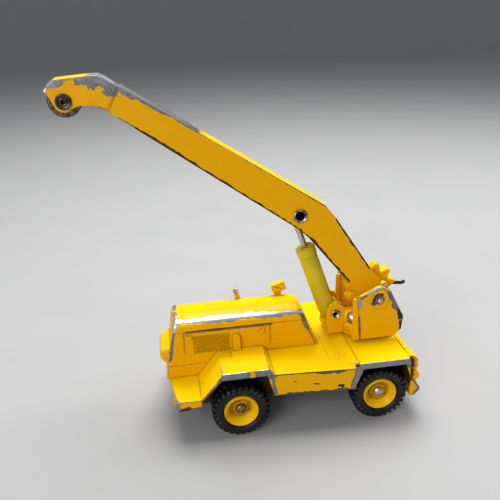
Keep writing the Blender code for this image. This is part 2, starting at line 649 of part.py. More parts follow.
boom()
pivot_pin()
tube_rivet("rod_end_rivet", ROD_END, ROD_RIVET_R, 0.09, 0.24, ARM_HALF_W)
tube_rivet("sheave_rivet", SHEAVE, SHEAVE_RIVET_R, 0.06, 0.24, HEAD_HALF_W)
tube_rivet("cylinder_pin", RAM_FOOT, RAM_PIN_R, 0.06, 0.17, EAR_Y)
sheave()


# ---------------------------------------------------------------- winch wheel and wire
def lobed(scale):
    """Outline with rounded lobes, for turning by finger, scaled about its axis."""
    points = []
    for i in range(LOBES * LOBE_STEPS):
        a = math.tau * i / (LOBES * LOBE_STEPS)
        wave = (0.5 + 0.5 * math.cos(LOBES * a)) ** LOBE_ROUNDNESS
        r = scale * (LOBE_ROOT_R + (LOBE_TIP_R - LOBE_ROOT_R) * wave)
        points.append((PIVOT[0] + r * math.cos(a + LOBE_TURN), PIVOT[1] + r * math.sin(a + LOBE_TURN)))
    return points


def winch_drum():
    """Lobed wheel on a short drum that turns on the boom's pivot pin."""
    half = HEEL_HALF_W - BOOM_WALL - GAP
    drum = rod_y("winch_drum", PIVOT, DRUM_R, -half, half, SMALL, PAINT)
    edge = ((0.95, WHEEL_HALF_T), (1.0, WHEEL_HALF_T - 0.06))
    layers = [(k, -y) for k, y in edge] + [(k, y) for k, y in reversed(edge)]
    join(drum, loft("t", [[(x, y, z) for x, z in lobed(k)] for k, y in layers]))
    cut(drum, rod_y("t", PIVOT, PIVOT_R + RUN, -ALL_THROUGH, ALL_THROUGH))
    set_origin(smooth(drum, 30.0), PIVOT[0], 0.0, PIVOT[1])


def winch_wire():
    """Stiff wire end that stands out beside the lobed wheel."""
    path = [(3.03, 4.10), (3.50, 4.05), (3.90, 4.00), (4.07, 3.98), (4.15, 4.00), (4.18, 4.06)]
    rings = []
    for i, (x, z) in enumerate(path):
        before = Vector(path[max(i - 1, 0)])
        after = Vector(path[min(i + 1, len(path) - 1)])
        along = (after - before).normalized()
        rings.append([(x - along.y * WIRE_R * math.cos(a), WIRE_Y + WIRE_R * math.sin(a),
                       z + along.x * WIRE_R * math.cos(a))
                      for a in (math.tau * k / WIRE_FACETS for k in range(WIRE_FACETS))])
    set_origin(smooth(loft("winch_wire", rings, WIRE)), PIVOT[0], 0.0, PIVOT[1])


winch_drum()
winch_wire()


# ---------------------------------------------------------------- luffing cylinder
def along_ram(name, profile, n, mat=None):
    """(radius, distance) profile turned about the line from the lower pin to the rod end."""
    foot = Vector((RAM_FOOT[0], 0.0, RAM_FOOT[1]))
    axis = (Vector((ROD_END[0], 0.0, ROD_END[1])) - foot).normalized()
    across = axis.cross(Vector((0.0, 1.0, 0.0)))
    foot = foot + across * RAM_OFFSET
    bm = bmesh.new()
    rings = []
    for r, d in profile:
        angles = [math.tau * i / n for i in range(n)] if r else [0.0]
        rings.append([bm.verts.new(foot + axis * d + across * (r * math.cos(a))
                                   + Vector((0.0, r * math.sin(a), 0.0))) for a in angles])
    skin(bm, rings)
    return finish(name, bm, mat)


def cylinder_barrel():
    """Barrel with a collar at its top and an eye on the crane's ears."""
    collar = BARREL_R + 0.02
    shell = [(0.0, 0.0), (0.30, 0.0), (BARREL_R, 0.12), (BARREL_R, BARREL_L - 0.34),
             (collar, BARREL_L - 0.32), (collar, BARREL_L - 0.04), (BARREL_R - 0.03, BARREL_L), (0.0, BARREL_L)]
    barrel = along_ram("cylinder_barrel", shell, ROUND, MUSTARD)
    join(barrel, rod_y("t", RAM_FOOT, 0.31, -0.37, 0.37))
    gland = BARREL_L - 0.20
    bore = [(0.0, BORE_FROM), (0.19, BORE_FROM), (0.19, gland), (0.0, gland)]
    neck = ROD_R + RUN
    throat = [(0.0, 1.0), (neck, 1.0), (neck, BARREL_L + BITE), (0.0, BARREL_L + BITE)]
    cut(barrel, along_ram("t", bore, SMALL), along_ram("t", throat, SMALL),
        rod_y("t", RAM_FOOT, RAM_PIN_R + RUN, -ALL_THROUGH, ALL_THROUGH))
    set_origin(smooth(barrel), RAM_FOOT[0], 0.0, RAM_FOOT[1])


def piston_rod():
    """Rod with an open eye that has play round the boom's rivet."""
    reach = math.dist(RAM_FOOT, ROD_END) - 0.22
    shaft = [(0.0, ROD_FROM), (0.09, ROD_FROM), (ROD_R, ROD_FROM + 0.03), (ROD_R, reach), (0.0, reach)]
    rod = along_ram("piston_rod", shaft, SMALL, STEEL)
    join(rod, rod_y("t", ROD_END, EYE_R, -0.13, 0.13))
    cut(rod, rod_y("t", ROD_END, EYE_BORE_R, -ALL_THROUGH, ALL_THROUGH))
    set_origin(smooth(rod), ROD_END[0], 0.0, ROD_END[1])


cylinder_barrel()
piston_rod()
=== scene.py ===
"""Looks of the toy crane truck: worn yellow enamel on cast zinc, black lugged tyres, dull rivets.

Places are in tyre radii from the middle of the wheelbase on the ground: front -X, left-hand side -Y, up +Z.
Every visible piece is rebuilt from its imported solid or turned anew, and rides on that solid's body.
"""
import json
import math

import bmesh
import bpy
import numpy as np
from mathutils import Matrix, Vector
from mathutils.kdtree import KDTree


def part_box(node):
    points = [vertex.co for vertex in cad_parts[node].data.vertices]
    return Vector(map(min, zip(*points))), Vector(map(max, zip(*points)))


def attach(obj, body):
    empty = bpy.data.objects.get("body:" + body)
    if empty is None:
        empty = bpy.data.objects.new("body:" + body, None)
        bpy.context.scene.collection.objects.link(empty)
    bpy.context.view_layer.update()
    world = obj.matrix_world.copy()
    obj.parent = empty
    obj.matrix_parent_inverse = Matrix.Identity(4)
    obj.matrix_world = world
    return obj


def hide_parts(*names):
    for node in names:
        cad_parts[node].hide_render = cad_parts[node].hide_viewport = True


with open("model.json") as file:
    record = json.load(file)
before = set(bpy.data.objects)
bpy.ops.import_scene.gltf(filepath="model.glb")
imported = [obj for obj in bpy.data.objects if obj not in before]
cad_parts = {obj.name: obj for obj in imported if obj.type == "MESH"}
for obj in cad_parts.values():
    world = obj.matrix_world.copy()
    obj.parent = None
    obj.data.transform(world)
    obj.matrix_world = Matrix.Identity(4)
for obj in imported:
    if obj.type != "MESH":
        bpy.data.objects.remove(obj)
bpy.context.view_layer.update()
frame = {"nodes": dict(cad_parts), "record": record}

NODES = frame["nodes"]
BODY_OF = {node: body for body, nodes in frame["record"]["behaviour"]["bodies"].items() for node in nodes}
MM = 0.001

# ---------------------------------------------------------------- the truck's own measure
TYRE_LO, TYRE_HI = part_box("tyre_front_left")
R = (TYRE_HI.z - TYRE_LO.z) / 2
REAR_LO, REAR_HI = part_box("tyre_rear_left")
MID_X = (TYRE_LO.x + TYRE_HI.x + REAR_LO.x + REAR_HI.x) / 4
AXLE_X = (REAR_LO.x - TYRE_LO.x) / 2 / R
WHEEL_Y = -(TYRE_LO.y + TYRE_HI.y) / 2 / R


def place(x, y, z):
    """A point in tyre radii, in metres in the shared frame."""
    return Vector((MID_X + x * R, y * R, z * R))


# ---------------------------------------------------------------- shader helpers
class Shader:
    """A material whose nodes are added one call at a time; inputs take a value or another node's socket."""

    def __init__(self, name):
        self.material = bpy.data.materials.new(name)
        self.material.use_nodes = True
        self.tree = self.material.node_tree
        self.surface = self.tree.nodes["Principled BSDF"]
        self.coords = self.node("TexCoord").outputs["Object"]

    def node(self, kind, inputs=None, **settings):
        made = self.tree.nodes.new("ShaderNode" + kind)
        for key, value in settings.items():
            setattr(made, key, value)
        for key, value in (inputs or {}).items():
            self.feed(made.inputs[key], value)
        return made

    def feed(self, socket, value):
        if isinstance(value, bpy.types.NodeSocket):
            self.tree.links.new(value, socket)
        else:
            socket.default_value = value

    def noise(self, size, detail=3.0, rough=0.55, stretch=(1, 1, 1)):
        """Noise from 0 to 1 whose features are about size millimetres across."""
        spread = self.node("Mapping", {"Vector": self.coords, "Scale": stretch})
        return self.node("TexNoise", {"Vector": spread.outputs[0], "Scale": 1 / (size * MM), "Detail": detail,
                                      "Roughness": rough}).outputs[0]

    def attribute(self, name):
        return self.node("Attribute", attribute_name=name).outputs["Fac"]

    def calc(self, how, a, b=0.0, c=0.0):
        return self.node("Math", {0: a, 1: b, 2: c}, operation=how).outputs[0]

    def step(self, value, low, high, to_low=0.0, to_high=1.0):
        return self.node("MapRange", {0: value, 1: low, 2: high, 3: to_low, 4: to_high},
                         interpolation_type="SMOOTHSTEP").outputs[0]

    def mix(self, share, a, b):
        made = self.node("Mix", data_type="RGBA")
        for key, value in ((0, share), (6, a), (7, b)):
            if isinstance(value, tuple):
                value = (*value, 1.0)
            self.feed(made.inputs[key], value)
        return made.outputs[2]

    def bump(self, height, depth, strength=1.0, onto=None):
        """Relief whose full height is depth millimetres."""
        made = self.node("Bump", {"Height": height, "Distance": depth * MM, "Strength": strength})
        if onto is not None:
            self.feed(made.inputs["Normal"], onto)
        return made.outputs[0]

    def done(self, colour, rough, metal=0.0, normal=None, **other):
        self.feed(self.surface.inputs["Base Color"], (*colour, 1.0) if isinstance(colour, tuple) else colour)
        self.feed(self.surface.inputs["Roughness"], rough)
        self.feed(self.surface.inputs["Metallic"], metal)
        if normal is not None:
            self.feed(self.surface.inputs["Normal"], normal)
        for key, value in other.items():
            self.feed(self.surface.inputs[key.replace("_", " ")], value)
        return self.material


# ---------------------------------------------------------------- materials
# Colour for darkening near inner corners: dirt and painted shade.
CORNER_DIRT_AND_SHADE = (0.20, 0.075, 0.002)                 # in inner corners
SEAM_DIRT = (0.085, 0.035, 0.002)
STAIN = (0.22, 0.10, 0.006)                 # where a smudge is wanted
SPECK = (0.10, 0.045, 0.01)
CHIP_RIM = (0.040, 0.022, 0.006)            # shade at the border of a chip
ZINC = ((0.085, 0.085, 0.088), (0.185, 0.185, 0.19))
OLD_ZINC = (0.045, 0.042, 0.040)
# Light metal colour: polished zinc and a painted highlight.
POLISH_AND_PAINTED_HIGHLIGHT = (0.70, 0.70, 0.71)          # where "shine" is 1
BURNT_ZINC = (0.016, 0.011, 0.008)          # where "shine" is 0
# Near-black colour of painted shade: arches, hull, underside of the drip edge, tail, grilles and behind the
# boom's collar.
PAINTED_SHADE_TONE = (0.012, 0.007, 0.002)        # inside the arches and under the hull


def worn_paint(name, side, top, gloss, corner_darkening=0.55):
    """Enamel over grey zinc, chipped to the metal where "edge" is less than a ragged "chip".

    side and top are the colours of upright and level faces: the deeper side colour is painted shade and the
    lighter, more lemon top colour is painted light from above; steps read distances in millimetres.
    """
    s = Shader(name)
    edge, chip, nook = s.attribute("edge"), s.attribute("chip"), s.attribute("nook")
    seam, soot, smudge = s.attribute("seam"), s.attribute("soot"), s.attribute("smudge")
    broad, patch = s.noise(9.0, 2), s.noise(2.2, 5, 0.66)
    crumb, grain = s.noise(0.7, 4, 0.6), s.noise(0.16, 2)
    reach = s.calc("MULTIPLY", chip, s.step(broad, 0.32, 0.66, 0.72, 1.28))
    ragged = s.calc("ADD", s.calc("MULTIPLY", s.calc("SUBTRACT", patch, 0.5), s.calc("MULTIPLY", chip, 2.4)),
                    s.calc("MULTIPLY", s.calc("SUBTRACT", crumb, 0.5), 0.42))
    margin = s.calc("SUBTRACT", s.calc("ADD", reach, ragged), edge)
    bare = s.step(margin, -0.015, 0.03)
    rim = s.step(margin, -0.10, 0.0)
    speck = s.step(s.noise(0.9, 2), 0.775, 0.785)
    # Level faces take the lighter top colour and upright faces the deeper side colour: painted light and
    # shade from above.
    up = s.node("SeparateXYZ", {0: s.node("TexCoord").outputs["Normal"]}).outputs[2]
    paint = s.mix(s.step(up, 0.15, 0.75), side, top)
    paint = s.mix(s.step(broad, 0.25, 0.75, 0.0, 0.16), paint, tuple(0.82 * c for c in side))
    paint = s.mix(s.step(crumb, 0.3, 0.75, 0.0, 0.08), paint, tuple(min(1.0, 1.15 * c) for c in top))
    # Patchy darkening near inner corners: dirt and painted shade.
    corner_dirt_and_shade = s.calc("MULTIPLY", s.step(nook, 0.0, 0.6, corner_darkening, 0.0), s.step(patch, 0.30, 0.62, 0.5, 1.0))
    paint = s.mix(corner_dirt_and_shade, paint, CORNER_DIRT_AND_SHADE)
    paint = s.mix(s.step(seam, 0.03, 0.11, 0.8, 0.0), paint, SEAM_DIRT)
    stain = s.calc("MULTIPLY", smudge, s.step(crumb, 0.42, 0.62))
    paint = s.mix(stain, paint, STAIN)
    paint = s.mix(s.calc("MULTIPLY", speck, 0.7), paint, SPECK)
    paint = s.mix(s.calc("MULTIPLY", rim, 0.72), paint, CHIP_RIM)
    metal = s.mix(s.step(crumb, 0.3, 0.7), *ZINC)
    metal = s.mix(s.step(patch, 0.52, 0.72, 0.0, 0.6), metal, OLD_ZINC)
    # Bared metal along bright strokes is lighter towards their middle: polish and a painted highlight.
    metal = s.mix(s.calc("MULTIPLY", s.attribute("shine"), s.step(edge, 0.3, 1.5, 1.0, 0.35)), metal,
                  POLISH_AND_PAINTED_HIGHLIGHT)
    burnt = s.step(s.attribute("shine"), 0.02, 0.08, 0.85, 0.0)
    metal = s.mix(burnt, metal, BURNT_ZINC)
    relief = s.bump(s.noise(1.3, 2), 0.012)
    relief = s.bump(grain, 0.004, onto=relief)
    relief = s.bump(bare, -0.05, onto=relief)
    shine = s.step(patch, 0.25, 0.75, gloss - 0.04, gloss + 0.12)
    rough = s.node("Mix", {0: bare, 2: shine, 3: s.step(grain, 0.2, 0.8, 0.30, 0.48)}).outputs[0]
    # Painted shade darkens paint and bared metal to near black and makes the metal less metallic.
    colour = s.mix(s.calc("MULTIPLY", soot, 0.93), s.mix(bare, paint, metal), PAINTED_SHADE_TONE)
    plated = s.calc("MULTIPLY", s.calc("SUBTRACT", 1.0, burnt), s.step(soot, 0.0, 1.0, 0.80, 0.0))
    return s.done(colour, rough, s.calc("MULTIPLY", bare, plated), relief, Specular_IOR_Level=0.10)


def rubber(name):
    """Black vinyl, shinier on the lugs, with a little grey dust in the grooves."""
    s = Shader(name)
    edge, patch, grain = s.attribute("edge"), s.noise(2.2, 4), s.noise(0.22, 3)
    black = s.mix(patch, (0.0045, 0.0042, 0.0045), (0.013, 0.012, 0.012))
    dust = s.calc("MULTIPLY", s.step(edge, 0.35, 0.9), s.step(patch, 0.40, 0.75, 0.0, 0.6))
    black = s.mix(s.calc("MULTIPLY", dust, 0.25), black, (0.050, 0.038, 0.030))
    relief = s.bump(grain, 0.010, onto=s.bump(s.noise(1.1, 3), 0.05))
    return s.done(black, s.step(patch, 0.25, 0.8, 0.22, 0.40), 0.0, relief, Specular_IOR_Level=0.26)


def bare_metal(name, dark, light, stain, stained, rough, turned=(1, 1, 1)):
    """Plated or bare metal with tarnish patches and fine tool marks."""
    s = Shader(name)
    patch, grain, marks = s.noise(1.1, 4, 0.6), s.noise(0.2, 3), s.noise(0.5, 3, 0.6, turned)
    colour = s.mix(grain, dark, light)
    colour = s.mix(s.step(patch, 0.62 - 0.35 * stained, 0.72 - 0.25 * stained, 0.0, 0.9), colour, stain)
    # Painted shade: near black in a rivet's hole or hollow and round the pivot pin.
    colour = s.mix(s.attribute("soot"), colour, (0.004, 0.003, 0.003))
    relief = s.bump(marks, 0.010, onto=s.bump(patch, 0.03))
    tarnish = s.step(patch, 0.3, 0.7, rough, rough + 0.22)
    return s.done(colour, tarnish, s.step(patch, 0.5, 0.75, 1.0, 1.0 - 0.4 * stained), relief)


def mustard_plastic(name):
    """Satin moulded plastic, scuffed and stained with brown marks."""
    s = Shader(name)
    broad, patch = s.noise(7.0, 3), s.noise(1.4, 4, 0.6)
    streak = s.noise(0.7, 3, 0.6, (4.0, 4.0, 0.5))
    colour = s.mix(s.step(broad, 0.3, 0.7), (0.50, 0.37, 0.001), (0.64, 0.49, 0.003))
    colour = s.mix(s.step(streak, 0.62, 0.72, 0.0, 0.45), colour, (0.26, 0.15, 0.008))
    colour = s.mix(s.step(s.noise(1.0, 1), 0.74, 0.77, 0.0, 0.85), colour, (0.10, 0.035, 0.008))
    # Darker along inner corners: dirt and painted shade.
    colour = s.mix(s.step(s.attribute("nook"), 0.0, 0.4, 0.35, 0.0), colour, (0.12, 0.06, 0.004))
    relief = s.bump(streak, 0.012, onto=s.bump(patch, 0.02))
    return s.done(colour, s.step(patch, 0.2, 0.8, 0.30, 0.50), 0.0, relief)


def black_tin(name):
    """Black lacquered tinplate, rubbed to grey on its edges."""
    s = Shader(name)
    patch, crumb = s.noise(3.0, 4), s.noise(0.6, 4)
    worn = s.step(s.calc("ADD", s.attribute("edge"), s.calc("MULTIPLY", crumb, -0.9)), -0.35, -0.2, 1.0, 0.0)
    streak = s.step(s.noise(0.9, 3, 0.6, (0.25, 3.0, 1.0)), 0.64, 0.70, 0.0, 0.6)
    bare = s.calc("MAXIMUM", worn, streak)
    colour = s.mix(patch, (0.012, 0.012, 0.013), (0.030, 0.029, 0.028))
    colour = s.mix(bare, colour, (0.30, 0.30, 0.31))
    relief = s.bump(bare, -0.03, onto=s.bump(crumb, 0.01))
    return s.done(colour, s.step(patch, 0.2, 0.8, 0.34, 0.55), s.calc("MULTIPLY", bare, 0.9), relief)


# First colour: upright faces, deeper orange as painted shade; second: level faces, lighter lemon as painted
# light from above.
ENAMEL = worn_paint("yellow_enamel", (0.79, 0.372, 0.0), (0.90, 0.585, 0.0), 0.29)
HUB_ENAMEL = worn_paint("hub_yellow", (0.80, 0.42, 0.002), (0.90, 0.56, 0.002), 0.20, corner_darkening=0.8)
VINYL = rubber("tyre_black")
# name, dark tone, light tone, tarnish, how much is tarnished, roughness
BRIGHT = bare_metal("bright_rivet", (0.55, 0.53, 0.50), (0.78, 0.76, 0.73), (0.30, 0.22, 0.16), 0.1, 0.22)
RUSTY = bare_metal("rusty_axle", (0.30, 0.19, 0.13), (0.50, 0.36, 0.28), (0.16, 0.065, 0.03), 0.75, 0.30)
PINK_STEEL = bare_metal("tarnished_axle", (0.50, 0.38, 0.33), (0.72, 0.60, 0.54), (0.28, 0.15, 0.10),
                        0.25, 0.26)
BRONZE = bare_metal("dull_rivet", (0.050, 0.038, 0.031), (0.120, 0.098, 0.084), (0.022, 0.015, 0.011),
                    0.45, 0.20)
EYELET = bare_metal("blackened_eyelet", (0.50, 0.48, 0.45), (0.80, 0.78, 0.74), (0.012, 0.010, 0.009),
                    0.62, 0.22)
ROD_STEEL = bare_metal("rod_steel", (0.42, 0.40, 0.37), (0.68, 0.66, 0.62), (0.22, 0.16, 0.11), 0.2, 0.18,
                       (1.0, 1.0, 6.0))
MUSTARD = mustard_plastic("mustard_plastic")
TIN = black_tin("black_plate")
DARK_WIRE = bare_metal("dark_wire", (0.030, 0.018, 0.012), (0.075, 0.050, 0.035), (0.10, 0.035, 0.015),
                       0.4, 0.35)

# ---------------------------------------------------------------- mesh helpers
SHARP = math.radians(28)          # a fold above this is a real edge of the casting
FAR = 12.0                        # millimetres; an edge further away than this doesn't matter
WELD = 0.003                      # millimetres
FLAT = math.radians(0.5)          # faces that differ by less than this are one face
FOLD_STEP = 0.12                  # millimetres between the points that stand for an edge
SEAM_STEP = 0.1
ROUNDS = 9                        # enough halvings for the longest edge
QUIET_SHINE = 0.2                 # of chips that no stroke describes
KEPT_PAINT = 4.0                  # millimetres that a kept spot adds to its distance from the wear


def solid_of(node):
    """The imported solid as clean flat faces, in millimetres."""
    bm = bmesh.new()
    bm.from_mesh(NODES[node].data)
    bmesh.ops.scale(bm, vec=(1 / MM,) * 3, verts=bm.verts)
    bmesh.ops.remove_doubles(bm, verts=bm.verts, dist=WELD)
    bmesh.ops.dissolve_limit(bm, angle_limit=FLAT, verts=bm.verts, edges=bm.edges)
    return bm


def split_long(bm, longest):
    """Triangles with no side longer than longest, so that what is stored per point stays local."""
    bmesh.ops.triangulate(bm, faces=bm.faces, quad_method="BEAUTY", ngon_method="BEAUTY")
    for _ in range(ROUNDS):
        far = [e for e in bm.edges if e.calc_length() > longest]
        if not far:
            return
        bmesh.ops.subdivide_edges(bm, edges=far, cuts=1)
        bmesh.ops.triangulate(bm, faces=[f for f in bm.faces if len(f.verts) > 3])


def folds(bm):
    """Points along the convex edges and along the concave ones, close together."""
    found = {True: [], False: []}
    for e in bm.edges:
        if len(e.link_faces) == 2 and e.calc_face_angle(0.0) > SHARP:
            a, b = e.verts[0].co, e.verts[1].co
            count = max(1, int((b - a).length / FOLD_STEP))
            found[e.is_convex] += [a.lerp(b, i / count) for i in range(count + 1)]
    return found[True], found[False]


def gaps(mesh, points):
    """Distance of every vertex from the nearest of the points."""
    if not points:
        return [FAR] * len(mesh.vertices)
    tree = KDTree(len(points))
    for i, p in enumerate(points):
        tree.insert(p, i)
    tree.balance()
    return [min(FAR, tree.find(v.co)[2]) for v in mesh.vertices]


def store(mesh, name, values, domain="CORNER"):
    data = mesh.attributes.new(name, "FLOAT", domain).data
    data.foreach_set("value", np.asarray(values, dtype=np.float32))


def off_line(points, line):
    """Distance of every point from a bent line."""
    best = np.full(len(points), FAR)
    for a, b in zip(line, line[1:]):
        a, b = np.array(a), np.array(b)
        along = b - a
        share = np.clip((points - a) @ along / max(along @ along, 1e-9), 0.0, 1.0)
        best = np.minimum(best, np.linalg.norm(points - a - share[:, None] * along, axis=1))
    return best


# a direction and the least part of a face's normal along it
FACING = {"any": (0, 0, 0, -1.0), "left": (0, -1, 0, 0.55), "right": (0, 1, 0, 0.55),
          "up": (0, 0, 1, 0.55), "side": (0, 0, -1, -0.5)}


def faces(normals, way):
    """Which of the normals point that way."""
    x, y, z, least = FACING[way]
    return normals @ np.array((x, y, z)) > least


def hill(spot, centre, radius):
    """1 at the centre, falling off over about radius millimetres."""
    return np.exp(-(np.linalg.norm(spot - np.array(centre), axis=1) / radius) ** 2)


def store_wear(mesh, convex, base, on_top, strokes, kept):
    """For every face corner: how far away its wear starts, how wide it is and how bright."""
    count = len(mesh.loops)
    verts = np.empty(count, dtype=np.int32)
    mesh.loops.foreach_get("vertex_index", verts)
    spots = np.empty(len(mesh.vertices) * 3)
    mesh.vertices.foreach_get("co", spots)
    spots = spots.reshape(-1, 3)
    normals = np.empty(len(mesh.polygons) * 3)
    mesh.polygons.foreach_get("normal", normals)
    sizes = np.empty(len(mesh.polygons), dtype=np.int32)
    mesh.polygons.foreach_get("loop_total", sizes)
    normals = np.repeat(normals.reshape(-1, 3), sizes, axis=0)
    near = np.array(gaps(mesh, convex))
    spot = spots[verts]
    edge = near[verts]
    chip = np.where(faces(normals, "up"), base * on_top, base)
    bright = np.full(count, QUIET_SHINE)
    for width, shine, way, line in strokes:
        far = off_line(spots, line)[verts]
        better = faces(normals, way) & (width - far > chip - edge)
        edge = np.where(better, far, edge)
        chip = np.where(better, width, chip)
        bright = np.where(better, shine, bright)
    for centre, radius in kept:
        edge = edge + KEPT_PAINT * hill(spot, centre, radius)
    store(mesh, "edge", edge)
    store(mesh, "chip", chip)
    store(mesh, "shine", bright)
    return spot, normals


def to_piece(bm, name, material, slot, node, convex=(), concave=(), base=0.0, on_top=0.6, strokes=(), kept=(),
             seams=(), smudges=(), soot=None, sharp=35.0, replace=True):
    """A bmesh in millimetres becomes a finished piece that rides where node rides."""
    mesh = bpy.data.meshes.new(name)
    bm.to_mesh(mesh)
    bm.free()
    spot, normals = store_wear(mesh, convex, base, on_top, strokes, kept)
    for key, points in (("nook", concave), ("seam", seams)):
        store(mesh, key, gaps(mesh, points), "POINT")
    store(mesh, "soot", soot(spot, normals) if soot else np.zeros(len(spot)))
    smudge = np.zeros(len(spot))
    for centre, radius, depth in smudges:
        smudge += depth * hill(spot, centre, radius)
    store(mesh, "smudge", smudge)
    mesh.transform(Matrix.Scale(MM, 4))
    mesh.shade_smooth()
    mesh.set_sharp_from_angle(angle=math.radians(sharp))
    mesh.materials.append(material)
    piece = bpy.data.objects.new(name, mesh)
    bpy.context.scene.collection.objects.link(piece)
    weigh = piece.modifiers.new("flat_faces_stay_flat", "WEIGHTED_NORMAL")
    weigh.keep_sharp = True
    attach(piece, BODY_OF[node])
    if replace:
        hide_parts(node)
    return piece


def mm(x, y, z):
    """A place in tyre radii, in millimetres."""
    return tuple(place(x, y, z) / MM)


def radii(p):
    """A place in millimetres, in tyre radii."""
    return (p * MM - place(0, 0, 0)) / R


def lines(*rows):
    """Wear along bent lines: width in mm, brightness of the bared metal (partly a painted highlight), faces
    that show it, points in tyre radii.
    """
    return [(width, shine, way, [mm(*p) for p in points]) for width, shine, way, *points in rows]


def on_both_sides(rows, share=0.7):
    """The same wear on the right-hand side, a little lighter."""
    other = {"left": "right"}
    return rows + [(width * share, shine, other.get(way, way), *[(x, -y, z) for x, y, z in points])
                   for width, shine, way, *points in rows]


def groove(bm, x, inside, depth, ends=(), half=0.011):
    """A narrow V across the faces that inside() picks, at one x; gives the points along its bottom."""
    at = mm(x, 0, 0)[0]
    for y in ends:
        level = [f for f in bm.faces if f.normal.z > 0.9]
        level = [f for f in level if min(v.co.x for v in f.verts) < at < max(v.co.x for v in f.verts)]
        rims = dict.fromkeys(e for f in level for e in f.edges)
        corners = dict.fromkeys(v for f in level for v in f.verts)
        bmesh.ops.bisect_plane(bm, geom=[*level, *rims, *corners], plane_co=mm(x, y, 0), plane_no=(0, 1, 0),
                               dist=1e-4)
    for shift in (-half, 0.0, half):
        geom = bm.verts[:] + bm.edges[:] + bm.faces[:]
        bmesh.ops.bisect_plane(bm, geom=geom, plane_co=(at + shift * R / MM, 0, 0), plane_no=(1, 0, 0),
                               dist=1e-4)
    bm.normal_update()
    bottom = {v for v in bm.verts if abs(v.co.x - at) < 1e-3 and inside(radii(v.co), v.normal)}
    found = []
    for e in bm.edges:
        if e.verts[0] in bottom and e.verts[1] in bottom:
            a, b = e.verts[0].co.copy(), e.verts[1].co.copy()
            count = max(1, int((b - a).length / SEAM_STEP))
            found += [a.lerp(b, i / count) for i in range(count + 1)]
    for v in bottom:
        v.co -= v.normal * depth
    return found


def block(x0, x1, y0, y1, z0, z1):
    """Box in tyre radii as a bmesh in millimetres."""
    bm = bmesh.new()
    lo, hi = place(x0, y0, z0) / MM, place(x1, y1, z1) / MM
    shape = Matrix.Translation((lo + hi) / 2) @ Matrix.Diagonal((*(hi - lo), 1.0))
    bmesh.ops.create_cube(bm, size=1.0, matrix=shape)
    return bm


def soften(bm, width, segments=2):
    """Round every real edge of the casting."""
    folded = [e for e in bm.edges if len(e.link_faces) == 2 and e.calc_face_angle(0.0) > SHARP]
    bmesh.ops.bevel(bm, geom=folded, offset=width, offset_type="OFFSET", segments=segments, profile=0.5,
                    affect="EDGES", clamp_overlap=False)


def recast(node, name, material, slot, round_off=0.12, longest=1.2, base=0.12, grooves=(), segments=2,
           undarkened=None, **finish):
    """A packed casting with softened edges, extra grooves and the wear that its material reads.

    Inner corners that undarkened() picks get no corner darkening.
    """
    bm = solid_of(node)
    convex, concave = folds(bm)
    if undarkened:
        concave = [p for p in concave if not undarkened(radii(p))]
    if round_off:
        soften(bm, round_off, segments)
    seams = []
    for row in grooves:
        seams += groove(bm, *row)
    split_long(bm, longest)
    return to_piece(bm, name, material, slot, node, convex, concave, base, seams=seams, **finish)


